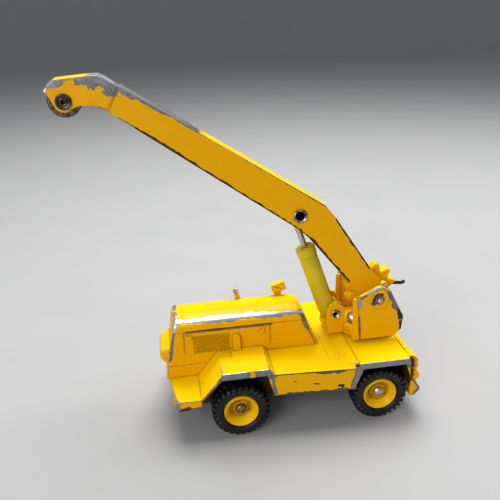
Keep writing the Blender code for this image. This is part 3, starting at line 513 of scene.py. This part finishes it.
# ---------------------------------------------------------------- truck body
FLANK_WEAR = [
    # hood: shoulder, front corner, rear corner, drip edge
    # Strokes with brightness near 1 are bared zinc with a painted highlight.
    (1.25, 1.00, "any", (-4.50, -0.66, 3.79), (-2.3, -0.66, 3.80), (-0.9, -0.67, 3.79)),
    (0.95, 0.60, "any", (-0.9, -0.70, 3.775), (0.00, -0.71, 3.75)),
    (0.95, 0.80, "any", (-4.50, -0.72, 3.76), (-4.53, -0.75, 3.50)),
    (0.50, 0.10, "any", (-4.53, -0.75, 3.45), (-4.60, -0.74, 3.1), (-4.73, -0.74, 2.35)),
    (0.75, 0.60, "any", (-4.46, -0.70, 3.77), (-4.45, -0.45, 3.85), (-4.44, -0.1, 3.90)),
    (0.70, 0.10, "any", (-0.04, -0.74, 3.70), (0.07, -0.74, 3.4), (0.22, -0.74, 3.05)),
    (0.24, 0.10, "any", (0.24, -0.73, 3.05), (0.50, -0.72, 2.42)),
    (0.16, 0.10, "left", (-4.1, -0.79, 3.455), (-0.6, -0.79, 3.455)),
    # front wing: rim, its ends, the slope below it, the fold above it
    (2.60, 0.22, "left", (-3.00, -2.28, 2.43), (-1.47, -2.29, 2.43)),
    (0.55, 0.10, "left", (-3.02, -2.28, 2.40), (-3.76, -2.28, 1.60)),
    (0.60, 0.10, "left", (-1.40, -2.30, 2.38), (-1.28, -2.31, 1.60)),
    (0.30, 1.00, "up", (-3.00, -2.26, 2.55), (-1.50, -2.27, 2.55)),
    (0.24, 0.80, "any", (-3.06, -2.27, 2.54), (-3.05, -1.75, 2.55)),
    (0.18, 0.10, "any", (-1.45, -2.27, 2.55), (-1.44, -1.2, 2.55)),
    # front apron
    (0.30, 0.10, "side", (-4.83, -0.9, 1.65), (-4.58, -2.27, 1.65), (-3.82, -2.27, 1.65)),
    (1.30, 0.00, "side", (-4.62, -1.9, 1.26), (-4.56, -2.27, 1.28), (-4.30, -2.27, 1.30)),
    (0.80, 0.10, "side", (-4.80, -0.9, 1.28), (-4.56, -2.27, 1.28), (-3.86, -2.27, 1.28)),
    (0.75, 0.30, "any", (-4.60, -2.24, 1.64), (-4.58, -2.24, 1.3)),
    # panel between the wheels
    (0.30, 0.00, "left", (-1.25, -2.32, 2.34), (0.2, -2.40, 2.34)),
    (0.95, 0.05, "left", (0.2, -2.40, 2.34), (1.05, -2.46, 2.34)),
    (0.30, 0.10, "left", (1.05, -2.46, 2.34), (1.5, -2.50, 2.34)),
    (0.22, 0.10, "left", (-1.2, -2.32, 1.51), (-0.8, -2.34, 1.51)),
    (0.75, 0.05, "left", (-0.8, -2.34, 1.50), (1.20, -2.47, 1.50)),
    (0.50, 0.00, "left", (-0.62, -2.36, 2.02), (-0.58, -2.36, 2.02)),
    (0.40, 0.00, "left", (0.05, -2.40, 1.86), (0.20, -2.40, 1.84)),
    (0.45, 0.00, "left", (0.92, -2.45, 1.72), (1.05, -2.46, 1.66)),
    # rear wing
    (2.60, 0.22, "left", (1.72, -2.52, 2.39), (3.40, -2.52, 2.39)),
    (1.25, 0.22, "left", (1.62, -2.50, 2.32), (1.44, -2.49, 1.52)),
    (0.55, 0.10, "left", (3.42, -2.52, 2.30), (3.48, -2.52, 1.85)),
    (0.34, 0.60, "up", (1.70, -2.50, 2.50), (3.40, -2.50, 2.50)),
    (0.20, 0.10, "any", (3.40, -2.45, 2.50), (3.40, -1.2, 2.50)),
    # tail
    (0.55, 0.10, "any", (3.70, -2.2, 1.46), (3.97, -2.2, 1.02), (3.78, -2.2, 0.72)),
    (0.45, 0.10, "any", (3.84, -2.25, 1.60), (3.80, -1.9, 1.80)),
    (0.35, 0.10, "any", (3.76, -2.30, 2.10), (3.60, -2.30, 2.46)),
    (0.35, 0.10, "any", (3.98, -2.2, 0.95), (3.98, 0.0, 0.95)),
]
ROOF_WEAR = [
    (1.10, 0.80, "any", (-1.97, 0.56, 3.85), (-2.08, 0.56, 4.26)),
    (0.20, 0.10, "any", (-0.86, 0.42, 4.3), (-0.40, 0.42, 4.1)),
]


ARCH_FRONT = (-3.9, -1.15)        # x of the wheel arches, and how far out they are dark
ARCH_FRONT_OUT = 2.24
ARCH_REAR = (1.3, 3.60)
ARCH_REAR_OUT = 2.46
HULL_OUT = 1.30                   # the arches begin here
DECK_Z = 2.46


def between(values, low_high):
    return (values > low_high[0]) & (values < low_high[1])


def under_the_body(spot, normals):
    """Painted shade inside the wheel arches, under the hull and the drip edge, on the tail beside the rear
    arch and behind the grilles.
    """
    x, y, z = (spot[:, 0] * MM - MID_X) / R, np.abs(spot[:, 1]) * MM / R, spot[:, 2] * MM / R
    front = between(x, ARCH_FRONT) & (y < ARCH_FRONT_OUT)
    rear = between(x, ARCH_REAR) & (y < ARCH_REAR_OUT) & (normals[:, 0] < 0.5)
    arch = (front | rear) & (z < DECK_Z) & (normals[:, 2] < 0.5) & (y > HULL_OUT)
    lip = between(x, (-4.16, -1.09)) & between(z, (3.405, 3.47)) & (y < 0.80) & (normals[:, 2] < 0.3)
    side_grille = between(x, (-3.87, -2.62)) & between(z, (2.53, 3.21)) & between(y, (0.69, 0.725))
    front_grille = (x < -4.50) & between(z, (3.22, 3.56)) & (y < 0.60) & (normals[:, 0] < -0.8)
    # The outer face of the tail beside the rear arch is painted black as shade, so that the arch looks
    # larger.
    tail = between(x, (3.46, 3.64)) & (y > 2.3) & between(z, (0.9, 2.28)) & (normals[:, 0] < 0.5)
    below = (normals[:, 2] < -0.6) & (z < DECK_Z)
    hull = (y < 1.34) & (z < 1.6) & between(x, (-4.5, 3.39)) & (np.abs(normals[:, 2]) < 0.6)
    return np.maximum((arch | tail | below | hull | lip) * 1.0, (side_grille | front_grille) * 0.95)


def faint_step(p):
    """The low step on the deck gets no corner darkening."""
    return 0.70 < p.x < 1.52 and abs(p.y) > 1.70 and 2.3 < p.z < 2.4


def hood_line(p, n):
    """The seam over the hood, and its foot on the wing."""
    hood = p.z > 3.5 and (n.z > 0.1 or abs(p.y) > 0.74)
    foot = 1.60 < p.z < 2.62 and 0.70 < abs(p.y) < 2.25
    return hood or foot and (n.z > 0.3 or abs(n.y) > 0.3)


def deck_seam(p, n):
    return n.z > 0.9 and 0.80 < abs(p.y) < 1.76 and 2.3 < p.z < 2.4


def platform_seam(p, n):
    return n.z > 0.9 and abs(p.y) < 2.38 and 2.45 < p.z < 2.55


recast("body_casting", "truck_body", ENAMEL, "yellow_enamel", 0.10, 1.2, -0.04, on_top=1.5,
       grooves=[(-4.20, hood_line, 0.12),
                (0.75, deck_seam, 0.04, (-1.75, -0.85, 0.85, 1.75)),
                (1.60, platform_seam, 0.08)],
       strokes=lines(*on_both_sides(FLANK_WEAR), *ROOF_WEAR),
       kept=[(mm(-2.05, -2.28, 2.42), 1.2), (mm(-0.4, 2.36, 2.3), 2.5), (mm(2.6, 2.52, 2.4), 2.0)],
       smudges=[(mm(1.15, -1.75, 2.4), 2.2, 0.55), (mm(0.0, -1.7, 2.35), 1.1, 0.5),
                (mm(-3.2, 0.2, 3.92), 1.6, 0.3)],
       soot=under_the_body, undarkened=faint_step)

# ---------------------------------------------------------------- crane base and boom
PLATE_WEAR = [
    (0.95, 0.45, "any", (1.93, -1.18, 4.28), (1.98, -1.2, 3.95)),
    (0.75, 0.10, "left", (1.95, -1.2, 4.27), (2.14, -1.2, 4.38)),
    (0.75, 0.60, "any", (2.28, -1.2, 4.49), (2.72, -1.2, 4.64)),
    (0.40, 0.10, "any", (2.74, -1.2, 4.65), (3.08, -1.2, 4.44)),
    (1.70, 0.10, "left", (3.08, -1.2, 4.44), (3.40, -1.2, 3.80)),
    (1.30, 0.00, "left", (3.40, -1.2, 3.80), (3.60, -1.2, 3.41), (3.57, -1.2, 3.02)),
    (0.32, 0.10, "any", (1.96, -1.2, 3.55), (2.03, -1.2, 2.70)),
    (0.16, 0.10, "left", (2.03, -1.2, 2.62), (3.20, -1.2, 2.62)),
    # Dark crescent on the pivot boss: painted shadow.
    (0.95, 0.04, "left", (2.46, -1.26, 4.10), (2.49, -1.26, 4.27), (2.60, -1.26, 4.37), (2.74, -1.26, 4.39)),
    (0.22, 0.10, "any", (1.62, -0.53, 3.7), (1.36, -0.53, 3.86)),
]
recast("crane_base", "crane_housing", ENAMEL, "yellow_enamel", 0.12, 0.7, -0.03,
       strokes=lines(*on_both_sides(PLATE_WEAR)))
BOOM_WEAR = [
    # cheeks of the head
    (1.50, 0.10, "left", (-7.50, -0.4, 11.84), (-7.15, -0.4, 11.96)),
    (0.50, 0.10, "left", (-7.15, -0.4, 11.96), (-6.60, -0.4, 12.02)),
    (2.30, 0.10, "left", (-6.55, -0.4, 12.02), (-6.20, -0.4, 12.02)),
    (3.30, 0.10, "left", (-6.10, -0.4, 12.00), (-5.65, -0.4, 11.80)),
    (0.70, 0.10, "left", (-7.58, -0.4, 11.58), (-7.42, -0.4, 11.20)),
    (0.32, 0.10, "left", (-6.90, -0.4, 11.10), (-6.10, -0.4, 11.15), (-5.9, -0.4, 11.06)),
    # Bright strokes on the tops of the head and the arm: bared metal with a painted highlight.
    (1.80, 1.00, "up", (-7.60, -0.3, 11.72), (-7.60, 0.3, 11.72)),
    (6.00, 1.00, "up", (-5.85, 0.0, 11.95), (-5.50, 0.0, 11.72)),
    (0.60, 1.00, "any", (-7.60, -0.38, 11.68), (-7.40, -0.38, 11.92)),
    # arm
    (1.50, 0.10, "left", (-5.42, -0.45, 11.70), (-5.05, -0.45, 11.46)),
    (0.70, 0.10, "left", (-5.05, -0.45, 11.46), (-4.2, -0.45, 10.92)),
    (0.40, 0.10, "left", (-4.2, -0.45, 10.92), (-2.6, -0.45, 9.86)),
    (0.34, 0.05, "left", (-2.6, -0.45, 9.86), (0.90, -0.45, 7.51)),
    (0.40, 0.10, "left", (-5.55, -0.45, 10.80), (-5.1, -0.45, 10.48)),
    (0.55, 0.00, "left", (-5.1, -0.45, 10.48), (0.0, -0.45, 6.72), (0.34, -0.46, 6.38)),
    (0.48, 0.00, "any", (1.28, -0.46, 7.02), (2.52, -0.56, 5.11)),
    (0.75, 0.00, "left", (1.72, -0.56, 4.66), (0.34, -0.46, 6.38)),
    (7.00, 0.55, "up", (-5.42, 0.0, 11.70), (-3.6, 0.0, 10.50)),
    (0.45, 0.30, "up", (-3.6, -0.44, 10.50), (0.90, -0.44, 7.51)),
]
COLLAR = (mm(-5.42, 0, 11.70), mm(-5.80, 0, 10.95))       # front end of the arm's cheeks, top and bottom


def behind_the_collar(spot, normals):
    """Painted shade on the cheeks of the head, in the step where the arm's collar begins."""
    top, bottom = (np.array(p) for p in COLLAR)
    along = (bottom - top) / np.linalg.norm(bottom - top)
    ahead = (spot - top) @ np.array((along[2], 0.0, -along[0]))
    corner_darkening = 0.55 * np.exp(-(ahead / 0.9) ** 2)
    return np.where((ahead > -0.05) & (np.abs(normals[:, 1]) > 0.5), corner_darkening, 0.0)


recast("boom", "crane_boom", ENAMEL, "yellow_enamel", 0.10, 0.9, -0.02,
       strokes=lines(*on_both_sides(BOOM_WEAR, 0.6),
                     (0.60, 0.80, "any", (3.02, -0.69, 4.42), (3.05, -0.69, 4.44)),
                     (0.20, 0.10, "left", (-5.0, -0.45, 11.02), (-4.98, -0.45, 11.02))),
       soot=behind_the_collar)


# ---------------------------------------------------------------- hood details
def bar(bm, a, b, out, half, low, high):
    """A raised strip from a to b with sloping sides; out is the way that it stands up."""
    along = (b - a).normalized()
    across = along.cross(out) * half
    loops = [[bm.verts.new(p + across * k * w + out * h) for p in (a, b)]
             for k, w, h in ((-1, 1.0, low), (-1, 0.45, high), (1, 0.45, high), (1, 1.0, low))]
    for p, q in zip(loops, loops[1:] + loops[:1]):
        bm.faces.new((p[0], p[1], q[1], q[0]))
    bm.faces.new([p[0] for p in loops])
    bm.faces.new([p[1] for p in reversed(loops)])


def clipped(u, v, slope, size):
    """The part of a slanting line through (u, v) that lies inside a panel of the given half size."""
    span = [-1e9, 1e9]
    for at, rate, half in ((u, 1.0, size[0]), (v, slope, size[1])):
        ends = sorted(((-half - at) / rate, (half - at) / rate))
        span = [max(span[0], ends[0]), min(span[1], ends[1])]
    return [(u + t, v + slope * t) for t in span] if span[1] - span[0] > 0.02 else None


MESH_SLOPE = 1.25
MESH_PITCH = 0.094
ROOTED = -0.02                    # how deep the added details reach into the casting
GRILLE_TURN = 0.11                # radius of the recess's corners
TURN_STEPS = 5
RAIL_X = (-4.15, -1.10)
RAIL_Y = (0.73, 0.785)
RAIL_Z = (3.365, 3.40)
CATCH_X = (-4.03, -1.46)
CATCH_Z = (3.20, 3.37)
PRONG_APART = 0.075
PRONG_HALF_W = 0.022
DRIP_Z = 3.435                    # underside of the drip edge


def mesh_panel(name, centre, right, out, size, depth):
    """Diamond mesh cast into a shallow recess whose corners are rounded."""
    bm = bmesh.new()
    up = out.cross(right)
    origin = Vector(mm(*centre))
    unit = R / MM
    for slope, half, high in ((MESH_SLOPE, 0.025, depth), (-MESH_SLOPE, 0.007, depth * 0.3)):
        count = int((size[0] + size[1]) / MESH_PITCH) + 2
        for i in range(-count, count + 1):
            ends = clipped(i * MESH_PITCH, 0.0, slope, size)
            if ends:
                a, b = (origin + (right * u + up * v) * unit for u, v in ends)
                bar(bm, a, b, out, half * unit, ROOTED * unit, high * unit)
    arc = [math.pi / 2 * i / TURN_STEPS for i in range(TURN_STEPS + 1)]
    for su in (-1, 1):
        for sv in (-1, 1):
            u0, v0 = su * size[0], sv * size[1]
            fan = [(u0, v0)]
            fan += [(u0 - su * GRILLE_TURN * (1 - math.sin(t)), v0 - sv * GRILLE_TURN * (1 - math.cos(t)))
                    for t in arc]
            rings = [[bm.verts.new(origin + (right * u + up * v + out * h) * unit) for u, v in fan]
                     for h in (ROOTED, depth)]
            for i in range(len(fan)):
                j = (i + 1) % len(fan)
                bm.faces.new((rings[0][i], rings[0][j], rings[1][j], rings[1][i]))
            bm.faces.new(rings[0][::-1])
            bm.faces.new(rings[1])
    bmesh.ops.recalc_face_normals(bm, faces=bm.faces)
    # The whole recess floor counts as an inner corner, so the grille darkens near it: painted shade in the
    # recess.
    recess_shade_points = [origin + (right * (size[0] * (i / 24 - 1)) + up * (size[1] * (j / 14 - 1))) * unit
                    for i in range(49) for j in range(29)]
    to_piece(bm, name, ENAMEL, "yellow_enamel", "body_casting", concave=recess_shade_points, base=-0.2, sharp=30,
             replace=False)


def hood_fittings(side):
    """Rail under the drip edge with two U-shaped catches."""
    y0, y1 = sorted(side * y for y in RAIL_Y)
    out = block(*RAIL_X, y0, y1, *RAIL_Z)
    for x in CATCH_X:
        for shift in (-PRONG_APART, PRONG_APART):
            prong = block(x + shift - PRONG_HALF_W, x + shift + PRONG_HALF_W, y0, y1, *CATCH_Z)
            mesh = bpy.data.meshes.new("work")
            prong.to_mesh(mesh)
            prong.free()
            out.from_mesh(mesh)
            bpy.data.meshes.remove(mesh)
    soften(out, 0.06)
    length = RAIL_X[1] - RAIL_X[0]
    # Inner-corner points along the underside of the drip edge darken the rail: a painted shadow line.
    under = [Vector(mm(RAIL_X[0] + length * i / 240, side * 0.76, DRIP_Z)) for i in range(241)]
    word = "left" if side < 0 else "right"
    rubbed = (0.30, 0.10, "any", *[(x, side * RAIL_Y[1], CATCH_Z[1]) for x in RAIL_X])
    to_piece(out, "hood_rail_" + word, ENAMEL, "yellow_enamel", "body_casting", concave=under, base=-0.05,
             strokes=lines(rubbed), replace=False)


for word, side in (("left", -1), ("right", 1)):
    mesh_panel("side_grille_" + word, (-3.245, side * 0.71, 2.87), Vector((-side, 0, 0)),
               Vector((0, side, 0)), (0.635, 0.35), 0.038)
    hood_fittings(side)
mesh_panel("front_grille", (-4.58, 0.0, 3.39), Vector((0, -1, 0)), Vector((-1, 0, 0)), (0.60, 0.17), 0.020)

# ---------------------------------------------------------------- small cast, plastic and metal pieces
recast("winch_drum", "winch_wheel", ENAMEL, "yellow_enamel", 0.42, 0.8, -0.12, segments=3, sharp=60)
recast("cylinder_barrel", "ram_barrel", MUSTARD, "mustard_plastic", 0.10, 1.0, 0.0)
recast("piston_rod", "ram_rod", ROD_STEEL, "steel", 0.05, 1.2, 0.0)
recast("sheave", "tip_sheave_wheel", BRONZE, "dull_rivet", 0.06, 1.2, 0.0)
recast("turntable_rivet", "turntable_rivet_head", BRIGHT, "steel", 0.06, 1.0, 0.0)
recast("baseplate", "base_plate_tin", TIN, "black_plate", 0.06, 1.5, 0.2)
for end in ("front", "rear"):
    recast("baseplate_rivet_" + end, "base_rivet_" + end, BRIGHT, "steel", 0.08, 1.0, 0.0)
recast("front_axle", "front_axle_headed", RUSTY, "steel", 0.0, 1.0, 0.0)
recast("rear_axle", "rear_axle_headed", PINK_STEEL, "steel", 0.0, 1.0, 0.0)
recast("winch_wire", "winch_wire_end", DARK_WIRE, "dark_wire", 0.03, 1.0, 0.0)

# ---------------------------------------------------------------- rivets and wheels
LUGS = 28
PER_LUG = 12                      # points round the tyre for each lug
LUG_LEAN = 0.12                   # how far the lugs lean, in radians for each tyre radius of width
LUG_DEPTH = 0.050
RIVET_SIDES = 48
HUB_SIDES = 72


def turned(profile, centre, segments, shape=None):
    """Closed (radius, y) profile turned about the Y line through centre, in millimetres."""
    bm = bmesh.new()
    rings = []
    for r, y in profile:
        ring = []
        for i in range(segments):
            a = math.tau * i / segments
            rr, yy = shape(a, r, y) if shape else (r, y)
            ring.append(bm.verts.new((centre + Vector((rr * math.cos(a), yy, rr * math.sin(a))) * R) / MM))
        rings.append(ring)
    for a, b in zip(rings, rings[1:] + rings[:1]):
        for i in range(segments):
            j = (i + 1) % segments
            bm.faces.new((a[i], a[j], b[j], b[i]))
    bmesh.ops.recalc_face_normals(bm, faces=bm.faces)
    return bm


def riveted(node, name, material, slot, end, dark):
    """A pin or hollow rivet along Y, both ends alike; dark() says where it is painted black as shade."""
    lo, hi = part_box(node)
    axis = (lo + hi) / 2
    profile = [(r, y) for r, y in end] + [(r, -y) for r, y in reversed(end)]

    def black(spot, normals):
        across = np.hypot(spot[:, 0] - axis.x / MM, spot[:, 2] - axis.z / MM) * MM / R
        return dark(across, np.abs(spot[:, 1]) * MM / R).astype(float)

    to_piece(turned(profile, axis, RIVET_SIDES), name, material, slot, node, soot=black, sharp=50)


# Black holes and hollows, and the dark ring round the pivot pin, are painted shade.
riveted("rod_end_rivet", "rod_end_eyelet", EYELET, "dull_rivet",
        [(0.09, 0.44), (0.155, 0.465), (0.172, 0.505), (0.188, 0.524), (0.208, 0.530), (0.228, 0.520),
         (0.24, 0.500), (0.24, 0.48), (0.14, 0.48)], lambda r, y: (r < 0.165) & (y < 0.51))
riveted("cylinder_pin", "cylinder_pin_eyelet", EYELET, "dull_rivet",
        [(0.06, 0.53), (0.105, 0.555), (0.118, 0.590), (0.132, 0.605), (0.148, 0.608), (0.162, 0.600),
         (0.17, 0.585), (0.17, 0.56), (0.11, 0.56)], lambda r, y: (r < 0.08) & (y < 0.58))
riveted("sheave_rivet", "sheave_rivet_stepped", BRONZE, "dull_rivet",
        [(0.06, 0.43), (0.062, 0.465), (0.075, 0.479), (0.105, 0.480), (0.122, 0.468), (0.130, 0.450),
         (0.165, 0.455), (0.185, 0.470), (0.212, 0.474), (0.232, 0.465), (0.24, 0.448), (0.24, 0.43),
         (0.10, 0.43)], lambda r, y: (r < 0.063) & (y < 0.46))
riveted("boom_pivot_pin", "pivot_pin_domed", PINK_STEEL, "steel",
        [(0.003, 1.326), (0.045, 1.322), (0.080, 1.306), (0.102, 1.278), (0.108, 1.240), (0.110, 1.205),
         (0.148, 1.200), (0.15, 1.17)], lambda r, y: (r > 0.112) & (y > 1.18))


BORE_R = 0.63
BED_R = 0.895
SHOULDER_Y = 0.30
TREAD = [(BORE_R, 0.30), (0.645, 0.34), (0.67, 0.372), (0.70, 0.384), (0.73, 0.388), (0.755, 0.386),
         (0.775, 0.392), (0.80, 0.402), (0.84, 0.404), (0.89, 0.398), (0.935, 0.382), (0.968, 0.355),
         (0.988, 0.320), (0.998, 0.27), (1.0, 0.21), (1.0, 0.14), (1.0, 0.075), (0.998, 0.035),
         (0.985, 0.018)]
DISH = [(0.127, 0.135), (0.20, 0.14), (0.232, 0.135), (0.252, 0.115), (0.262, 0.075), (0.285, 0.055),
        (0.33, 0.062), (0.375, 0.105), (0.405, 0.165), (0.425, 0.225), (0.445, 0.255), (0.475, 0.285),
        (0.505, 0.325), (0.530, 0.357), (0.552, 0.373), (0.572, 0.376), (0.590, 0.362), (0.60, 0.335),
        (0.60, 0.29), (0.60, -0.30), (0.58, -0.33), (0.26, -0.36), (0.127, -0.36)]
CREST_R = (0.965, 2.0)
LIP_R = (0.565, 0.575)
BOWL_R = (0.25, 0.40)


def lug(a, r, y):
    """Blocks on both shoulders, half a pitch apart, that run down the sidewall; grooves between them."""
    side = 1 if y > 0 else -1
    phase = (a + side * LUG_LEAN * (abs(y) - 0.2)) * LUGS / math.tau + (0.5 if side < 0 else 0.0)
    wave = phase - math.floor(phase)
    rise = min(1.0, max(0.0, (0.5 - abs(wave - 0.5)) * 6.4 - 0.75))
    rise = rise * rise * (3 - 2 * rise)
    depth = min(1.0, max(0.0, (r - 0.775) / 0.05))
    inward = LUG_DEPTH * depth * (1 - rise) if abs(y) > SHOULDER_Y else 0.0
    bed = BED_R - 0.3 * max(0.0, abs(y) - SHOULDER_Y)
    low = min(r, bed)
    return low + (r - low) * rise, y - side * inward


def ringed(bm, centre, band):
    """Places of the vertices whose distance from the wheel's axis lies in the band."""
    far = [(v, math.hypot(*(v.co - centre / MM).xz) * MM / R) for v in bm.verts]
    return [v.co.copy() for v, r in far if band[0] < r < band[1]]


def tyre(wheel, centre):
    profile = [(r, y) for r, y in TREAD] + [(r, -y) for r, y in reversed(TREAD)]
    bm = turned(profile, centre, LUGS * PER_LUG, lug)
    crests = ringed(bm, centre, CREST_R)
    to_piece(bm, "tyre_lugged_" + wheel, VINYL, "tyre_black", "tyre_" + wheel, crests, sharp=75)


def hub(wheel, s, centre):
    """Dished disc with a wide rolled lip and a raised nave, open towards the outside."""
    bm = turned([(r, s * y) for r, y in DISH], centre, HUB_SIDES)
    # The ring at the bottom of the bowl darkens as an inner corner: dirt and painted shade.
    lip, bowl = ringed(bm, centre, LIP_R), ringed(bm, centre, BOWL_R)
    to_piece(bm, "hub_dished_" + wheel, HUB_ENAMEL, "hub_yellow", "hub_" + wheel, lip, bowl, sharp=50)


for end, x in (("front", -AXLE_X), ("rear", AXLE_X)):
    for side, s in (("left", -1), ("right", 1)):
        centre = place(x, s * WHEEL_Y, 1.0)
        tyre(end + "_" + side, centre)
        hub(end + "_" + side, s, centre)

# ---------------------------------------------------------------- floor, light, camera
def floor():
    """Pale sweep: level floor that curves up into a wall far behind."""
    near, far, rise, half, top, steps = -1.2, 1.4, 0.8, 2.2, 2.4, 16
    bm = bmesh.new()
    line = [(near, 0.0), (far, 0.0)]
    for i in range(1, steps + 1):
        a = math.pi / 2 * i / steps
        line.append((far + rise * math.sin(a), rise * (1 - math.cos(a))))
    line.append((far + rise, top))
    rows = [[bm.verts.new((x, y, z)) for x in (-half, half)] for y, z in line]
    for a, b in zip(rows, rows[1:]):
        bm.faces.new((a[0], a[1], b[1], b[0]))
    mesh = bpy.data.meshes.new("floor")
    bm.to_mesh(mesh)
    bm.free()
    mesh.shade_smooth()
    s = Shader("pale_floor")
    tone = s.mix(s.noise(40.0, 3), (0.36, 0.36, 0.36), (0.40, 0.398, 0.396))
    mesh.materials.append(s.done(tone, 0.75, normal=s.bump(s.noise(1.5, 3), 0.05)))
    made = bpy.data.objects.new("floor", mesh)
    bpy.context.scene.collection.objects.link(made)


def lamp(name, at, aim, size, power):
    """Square white lamp; places and size in metres, power in watts."""
    light = bpy.data.lights.new(name, "AREA")
    light.size = size
    light.energy = power
    made = bpy.data.objects.new(name, light)
    made.location = at
    made.rotation_euler = (Vector(aim) - Vector(at)).to_track_quat("-Z", "Y").to_euler()
    bpy.context.scene.collection.objects.link(made)


floor()
lamp("overhead", (0.05, 0.20, 0.62), (0.0, 0.0, 0.04), 0.45, 5.9)
lamp("front_left", (-0.45, -0.50, 0.42), (0.0, 0.0, 0.05), 0.40, 2.5)
lamp("low_left", (-0.25, -0.65, 0.14), (0.0, 0.0, 0.06), 0.30, 0.8)
lamp("right_rim", (0.55, 0.10, 0.30), (0.0, 0.0, 0.05), 0.30, 1.2)
world = bpy.data.worlds.new("studio")
world.use_nodes = True
sky = world.node_tree.nodes["Background"]
sky.inputs[0].default_value = (0.92, 0.95, 1.0, 1.0)
sky.inputs[1].default_value = 0.28
bpy.context.scene.world = world
bpy.context.scene.view_settings.view_transform = "Standard"

EYE = place(-4.308, -18.389, 13.819)
FORWARD = Vector((0.131, 0.912, -0.389)).normalized()
UP = Vector((0.987, -0.156, -0.031)).normalized().cross(FORWARD).normalized()
RIGHT = FORWARD.cross(UP).normalized()
SENSOR_MM = 36.0
LENS_MM = 41.92
camera = bpy.data.objects.new("camera", bpy.data.cameras.new("camera"))
camera.matrix_world = Matrix([(RIGHT[i], UP[i], -FORWARD[i], EYE[i]) for i in range(3)] + [(0, 0, 0, 1)])
camera.data.sensor_width = SENSOR_MM
camera.data.lens = LENS_MM
camera.data.clip_start = 0.005
bpy.context.scene.collection.objects.link(camera)
bpy.context.scene.camera = camera
